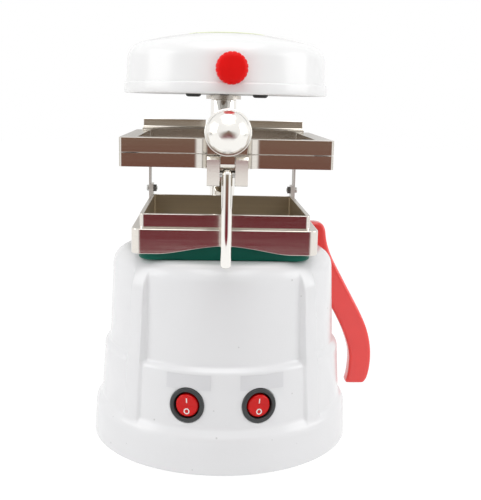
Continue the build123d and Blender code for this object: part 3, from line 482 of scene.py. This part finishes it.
# %% [markdown]
# ## The carry handle
# A moulded bow that stands on the drum's shoulder and hangs free beside it. It is flat, and faces the user.
# Its front view is drawn as pairs of points, outer edge and inner edge, joined into a strip. The strip gets
# its thickness, its long edges are rounded, and a Subdivision Surface makes one smooth sweep of it.

# %% Bend the handle
BOW_FRONT, BOW_THICK = 32.1, 13.8
bow_pairs = [((64.2, 151.2), (64.2, 139.5)), ((70.8, 152.4), (66.0, 137.5)), ((78.2, 152.0), (67.5, 134.0)),
             ((81.6, 147.2), (68.0, 129.0)), ((82.0, 137.4), (69.0, 122.0)), ((86.6, 125.0), (71.5, 113.0)),
             ((92.2, 115.0), (76.0, 104.5)), ((101.2, 98.6), (83.0, 91.8)), ((109.3, 84.4), (90.4, 80.2)),
             ((116.3, 71.0), (96.9, 67.8)), ((120.6, 58.6), (101.5, 57.0)), ((122.6, 45.5), (104.9, 45.0)),
             ((122.1, 33.4), (104.6, 34.0)), ((120.4, 24.8), (103.7, 25.2)), ((117.6, 19.8), (101.7, 19.8))]
bow = bmesh.new()
outer = [bow.verts.new(mm(x, BOW_FRONT, z)) for (x, z), _ in bow_pairs]
inner = [bow.verts.new(mm(x, BOW_FRONT, z)) for _, (x, z) in bow_pairs]
for i in range(len(bow_pairs) - 1):
    bow.faces.new((outer[i], outer[i + 1], inner[i + 1], inner[i]))
thick = bmesh.ops.extrude_face_region(bow, geom=bow.faces[:])
far_side = [v for v in thick["geom"] if isinstance(v, bmesh.types.BMVert)]
bmesh.ops.translate(bow, vec=mm(0, BOW_THICK, 0), verts=far_side)
bmesh.ops.recalc_face_normals(bow, faces=bow.faces[:])
rims = [e for e in bow.edges if len(e.link_faces) == 2 and e.calc_face_angle() > radians(60)]
rounded_edges(bow, rims, 2.6, 3)
handle = piece("red_handle", bow, "carry_handle", red_moulding, angle=180)
smooth = handle.modifiers.new("smooth_sweep", "SUBSURF")
smooth.levels = smooth.render_levels = 2

# %% [markdown]
# ## The rocker switches
# Each switch is a black ring pressed into a round hole, and a red lens that tilts in it. The lens has two
# flat halves that meet in a shallow valley, with I on the upper half and O on the lower one, as on any such
# switch.

# %% How the lens is bent and leans
ROCK = 7.0


def rocked(way):
    """The lens's lean about its own X axis: way is 1 for one side and -1 for the other."""
    return Matrix.Rotation(radians(way * ROCK), 4, "X")


def rocker_top(y):
    """Height of the lens at a distance above or below its middle, in metres."""
    return sqrt(y * y + (0.5 * MM) ** 2) * 0.1228


# %% Turn the rings, press the lenses and set the signs
for side, name in ((-1, "left"), (1, "right")):
    place = wall_place(side * SWITCH_AZIMUTH, SWITCH_OUT, SWITCH_UP)
    tilt = place @ Matrix.Translation(mm(0, 0, -1)) @ rocked(1) @ Matrix.Translation(mm(0, 0, 1))
    ring = rounded_line([(11.8, 0.0), (11.8, 1.8), (8.9, 1.8), (8.5, -8.5), (9.9, -8.5), (9.9, 0.0)],
                        {1: 1.2, 2: 0.7}, segments=6, closed=True)
    moved(turned(ring, steps=96), place)
    piece(name + "_switch_ring", ring, name + "_switch_body", black_plastic, angle=40)
    lens = rounded_line([(0.02, 0.9), (7.8, 0.9), (7.8, -3.4), (0.02, -3.4)], {1: 1.3}, segments=5)
    top = [e for e in lens.edges if e.calc_length() > 0.006 and e.verts[0].co.z > 0]
    bmesh.ops.subdivide_edges(lens, edges=top, cuts=8)
    turned(lens, steps=96)
    for v in lens.verts:
        if v.co.z > -0.001:
            v.co.z += rocker_top(v.co.y)
    moved(lens, tilt)
    piece(name + "_switch_lens", lens, name + "_switch_rocker", red_lens, angle=50)
    bar = bmesh.new()
    bmesh.ops.create_cube(bar, size=1)
    moved(bar, tilt @ Matrix.Translation(mm(0, 3.7, 1.36)) @ rocked(1)
          @ Matrix.Diagonal((0.75 * MM, 3.4 * MM, 0.16 * MM, 1)))
    piece(name + "_switch_sign_I", bar, name + "_switch_rocker", print_white, replace=False)
    loop = rounded_line([(1.25, 0), (2.0, 0), (2.0, 0.16), (1.25, 0.16)], {}, closed=True)
    moved(turned(loop, steps=40), tilt @ Matrix.Translation(mm(0, -3.9, 1.3)) @ rocked(-1))
    piece(name + "_switch_sign_O", loop, name + "_switch_rocker", print_white, replace=False)

# %% [markdown]
# ## Camera and light
# The camera stands where the photographer's did, a little above the machine. Three large soft lamps and an
# even white world light it from all sides, at a level at which the drum's white stays below pure white.

# %% Stand the camera up
def look(yaw, pitch, roll):
    """The camera's turn: yaw towards +X, pitch down, roll clockwise, in degrees."""
    a, e, t = radians(yaw), radians(pitch), radians(roll)
    right = Vector((cos(a), -sin(a), 0))
    forward = Vector((sin(a) * cos(e), cos(a) * cos(e), -sin(e)))
    up = Vector((sin(a) * sin(e), cos(a) * sin(e), cos(e)))
    right, up = cos(t) * right + sin(t) * up, cos(t) * up - sin(t) * right
    return Matrix((right, up, -forward)).transposed()


camera_data = bpy.data.cameras.new("camera")
camera_data.sensor_width = 36.0
camera_data.lens = 58.25
camera = bpy.data.objects.new("camera", camera_data)
camera.matrix_world = Matrix.Translation(mm(-12.5, -593, 245.3)) @ look(2.47, 10.5, 1.23).to_4x4()
bpy.context.scene.collection.objects.link(camera)
bpy.context.scene.camera = camera
print("camera lens:", round(camera_data.lens, 2), "mm")


# %% Hang the lamps
def lamp(name, place, aim, size, power):
    """A square softbox that faces a point."""
    data = bpy.data.lights.new(name, "AREA")
    data.shape = "SQUARE"
    data.size = size
    data.energy = power
    obj = bpy.data.objects.new(name, data)
    obj.location = place
    obj.rotation_euler = (Vector(aim) - Vector(place)).to_track_quat("-Z", "Y").to_euler()
    bpy.context.scene.collection.objects.link(obj)


lamp("softbox_left", (-1.25, -0.20, 0.65), (0, 0, 0.12), 0.8, 4.6)
lamp("softbox_right", (1.25, -0.15, 0.60), (0, 0, 0.12), 0.8, 4.6)
lamp("softbox_top", (0, -0.35, 1.25), (0, 0, 0.15), 0.9, 5.8)
bpy.context.scene.view_settings.view_transform = "Standard"
print("lamps:", len(bpy.data.lights))


# %% Light the world, and lay the floor
def seen_directly(nodes, links):
    """1 for rays that come from the camera, from a mirror or through glass, else 0."""
    path = nodes.new("ShaderNodeLightPath")
    first = nodes.new("ShaderNodeMath")
    first.operation = "MAXIMUM"
    links.new(path.outputs["Is Camera Ray"], first.inputs[0])
    links.new(path.outputs["Is Glossy Ray"], first.inputs[1])
    both = nodes.new("ShaderNodeMath")
    both.operation = "MAXIMUM"
    links.new(first.outputs[0], both.inputs[0])
    links.new(path.outputs["Is Transmission Ray"], both.inputs[1])
    return both.outputs[0]


world = bpy.data.worlds.new("studio")
bpy.context.scene.world = world
world.use_nodes = True
w_nodes, w_links = world.node_tree.nodes, world.node_tree.links
w_back = w_nodes["Background"]
w_level = w_nodes.new("ShaderNodeMapRange")
w_level.inputs["To Min"].default_value = 0.575
w_level.inputs["To Max"].default_value = 1.0
w_links.new(seen_directly(w_nodes, w_links), w_level.inputs["Value"])
w_links.new(w_level.outputs["Result"], w_back.inputs["Strength"])
w_back.inputs["Color"].default_value = (1, 1, 1, 1)


def floor_material():
    """White to the camera, with part of the object's shadow left on it."""
    mat = bpy.data.materials.new("pale_floor")
    mat.use_nodes = True
    nodes, links = mat.node_tree.nodes, mat.node_tree.links
    shader = nodes["Principled BSDF"]
    shader.inputs["Base Color"].default_value = (0.96, 0.96, 0.96, 1)
    shader.inputs["Roughness"].default_value = 0.9
    shader.inputs["Specular IOR Level"].default_value = 0.1
    glow = nodes.new("ShaderNodeEmission")
    glow.inputs["Strength"].default_value = 1.09
    mix = nodes.new("ShaderNodeMixShader")
    share = nodes.new("ShaderNodeMath")
    share.operation = "MULTIPLY"
    share.inputs[1].default_value = 0.86
    links.new(seen_directly(nodes, links), share.inputs[0])
    links.new(share.outputs[0], mix.inputs["Fac"])
    links.new(shader.outputs["BSDF"], mix.inputs[1])
    links.new(glow.outputs["Emission"], mix.inputs[2])
    links.new(mix.outputs["Shader"], nodes["Material Output"].inputs["Surface"])
    return mat


def stage_object(name, bm, material):
    """A piece of the studio, not of the machine."""
    mesh = bpy.data.meshes.new(name)
    bm.to_mesh(mesh)
    bm.free()
    obj = bpy.data.objects.new(name, mesh)
    obj.data.materials.append(material)
    bpy.context.scene.collection.objects.link(obj)
    return obj


floor_bm = bmesh.new()
bmesh.ops.create_circle(floor_bm, cap_ends=True, segments=64, radius=4.0)
stage_object("floor", floor_bm, floor_material())
print("floor laid")

# %% [markdown]
# Polished steel shows what stands in front of it. In the photograph that is a dim, warm room, and it turns
# the flat front faces brown while every rounded edge still mirrors the white surroundings. A card that only
# reflections can see stands in for that room. Its bands run from deep red at the bottom through brown to
# white at the top. Plain grey cards do the same at the sides and the back.


# %% Stand the dim cards round the machine
def card_material(name, bands, across, half):
    """Glowing bands of colour by height, which fade to white towards the two upright edges of the card."""
    mat = bpy.data.materials.new(name)
    mat.use_nodes = True
    nodes, links = mat.node_tree.nodes, mat.node_tree.links
    nodes.remove(nodes["Principled BSDF"])
    glow = nodes.new("ShaderNodeEmission")
    where = nodes.new("ShaderNodeTexCoord")
    split = nodes.new("ShaderNodeSeparateXYZ")
    ramp = nodes.new("ShaderNodeValToRGB")
    links.new(where.outputs["Object"], split.inputs["Vector"])
    links.new(split.outputs["Z"], ramp.inputs["Fac"])
    while len(ramp.color_ramp.elements) < len(bands):
        ramp.color_ramp.elements.new(0.5)
    for stop, (height, colour) in zip(ramp.color_ramp.elements, bands):
        stop.position = height
        stop.color = (*colour, 1)
    size = nodes.new("ShaderNodeMath")
    size.operation = "ABSOLUTE"
    links.new(split.outputs[across], size.inputs[0])
    fade = nodes.new("ShaderNodeMapRange")
    fade.interpolation_type = "SMOOTHSTEP"
    fade.inputs["From Min"].default_value = half[0]
    fade.inputs["From Max"].default_value = half[1]
    links.new(size.outputs[0], fade.inputs["Value"])
    edge = nodes.new("ShaderNodeMix")
    edge.data_type = "RGBA"
    edge.inputs["B"].default_value = (1, 1, 1, 1)
    links.new(fade.outputs["Result"], edge.inputs["Factor"])
    links.new(ramp.outputs["Color"], edge.inputs["A"])
    links.new(edge.outputs["Result"], glow.inputs["Color"])
    links.new(glow.outputs["Emission"], nodes["Material Output"].inputs["Surface"])
    return mat


def card(name, corners, material):
    """A four-cornered sheet that only reflections can see."""
    bm = bmesh.new()
    bm.faces.new([bm.verts.new(corner) for corner in corners])
    sheet = stage_object(name, bm, material)
    sheet.visible_camera = False
    sheet.visible_diffuse = False
    sheet.visible_transmission = False
    sheet.visible_shadow = False


front_bands = [(0.01, (0.21, 0.022, 0.036)), (0.095, (0.145, 0.030, 0.034)), (0.13, (0.19, 0.080, 0.060)),
               (0.185, (0.22, 0.120, 0.090)), (0.21, (0.20, 0.150, 0.100)), (0.27, (0.50, 0.48, 0.44)),
               (0.36, (1, 1, 1))]
front = [(-0.62, -0.69, 0.003), (0.62, -0.69, 0.003), (0.62, -0.69, 0.36), (-0.62, -0.69, 0.36)]
card("dim_front", front, card_material("dim_front_room", front_bands, "X", (0.17, 0.60)))
grey_bands = [(0.0, (0.42, 0.40, 0.38)), (0.5, (0.60, 0.59, 0.57)), (0.9, (1, 1, 1))]
side_room = card_material("dim_side_room", grey_bands, "Y", (0.10, 0.42))
for name, x in (("dim_left", -1.6), ("dim_right", 1.6)):
    card(name, [(x, -0.42, 0.003), (x, 0.42, 0.003), (x, 0.42, 0.9), (x, -0.42, 0.9)], side_room)
back = [(-0.5, 1.6, 0.003), (0.5, 1.6, 0.003), (0.5, 1.6, 0.9), (-0.5, 1.6, 0.9)]
card("dim_back", back, card_material("dim_back_room", grey_bands, "X", (0.15, 0.5)))
print("reflection cards: 4")

# %% [markdown]
# ## The rest of the skeleton
# The milled steel pieces are copied, so that their edges can be broken. The chamber's inner walls get a
# darker, warmer steel than its outside, as painted shade. Everything else keeps its own mesh and only gets its
# finish.

# %% Break the edges of the milled pieces
for node in ("chamber_skirt", "lower_frame", "upper_frame", "rear_upstand", "latch_lever"):
    milled(node, strokes, width=0.35)
for node in ("strap_brackets", "guide_straps"):
    milled(node, satin_steel, width=0.3)
INNER_HALF = 54.8
chamber = milled("forming_chamber", strokes, width=0.35)
# Painted shade: the chamber's upright inner faces take the darker steel.
chamber.data.materials.append(painted_shade_steel)
for face in chamber.data.polygons:
    if abs(face.normal.z) < 0.5 and max(abs(face.center.x), abs(face.center.y)) < INNER_HALF * MM:
        face.material_index = 1

# %% Paint the other nodes
paint(label_film, "label_plates")
paint(black_plastic, "power_inlet", "fuse_carrier", "drag_screw")
# Painted shade: the plate inside the chamber takes the darker steel as well.
paint(painted_shade_steel, "perforated_plate")
paint(aluminium, "heater_plate", "reflector")
paint(zinc, "chamber_screws", "strap_bolts", "handle_screws", "lug_pins", "guide_pins", "hinge_pins")
paint(zinc, "hub_bolt", "knob_screw", "base_screws", "post_nut")
paint(dark_steel, "strap_nuts")
paint(mirror_plate, "stop_collar")
paint(satin_nickel, "head_hub", "head_arm")
paint(bronze, "slider_bush")
paint(black_rubber, "plate_screws", "rubber_sole")
paint(heat_tint, "heater_element")
paint(ceramic, "element_insulators")
paint(grey_coat, "bottom_plate")
paint(buff_plastic, "terminal_block", "air_duct")
paint(black_plastic, "fan_housing", "impeller")
paint(zinc, "motor_can", "motor_end_cap", "motor_cradle", "motor_bearings", "motor_shaft")
paint(core_stack, "motor_stator")
paint(carbon, "motor_brushes")
